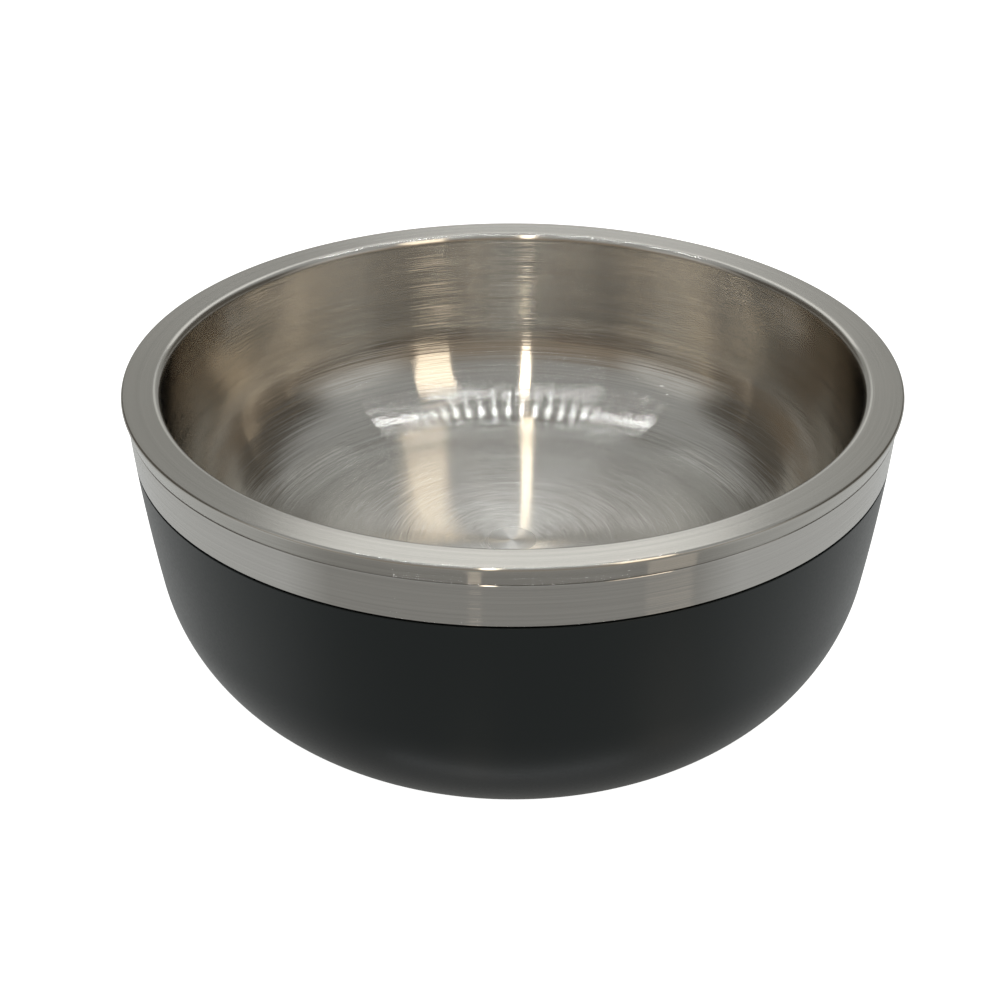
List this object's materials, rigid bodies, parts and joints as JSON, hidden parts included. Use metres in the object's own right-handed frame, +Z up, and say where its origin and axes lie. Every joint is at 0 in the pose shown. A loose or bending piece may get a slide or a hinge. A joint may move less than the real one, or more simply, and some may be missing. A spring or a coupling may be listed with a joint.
{
  "type": "shaving bowl",
  "caption": "Double-walled steel bowl for shaving lather: brushed inside, flat rim and bare band, satin black body, small flat foot.",
  "frame": {"origin": "on the bowl's axis, in the plane that the foot stands on", "axes": "+Z up along the axis, out of the bowl's mouth; the bowl is the same all round, so +X and +Y are free"},
  "size_m": [0.116, 0.116, 0.0538],
  "materials": {
    "liner_steel": "turned and brushed round the axis, satin",
    "shell_steel": "brushed round the axis, satin",
    "black_coat": "satin black powder coat",
    "base_steel": "turned in fine rings, satin",
    "solder_glass": "dark fused solder glass, glossy",
    "getter": "sintered, matt grey",
    "foil": "bright rolled foil"
  },
  "bodies": {
    "root": {"inner_bowl": "liner_steel", "outer_shell": "shell_steel", "powder_coat": "black_coat", "base_cover": "base_steel", "vacuum_seal": "solder_glass", "getter_tablet": "getter", "getter_strap": "foil"}
  },
  "joints": []
}
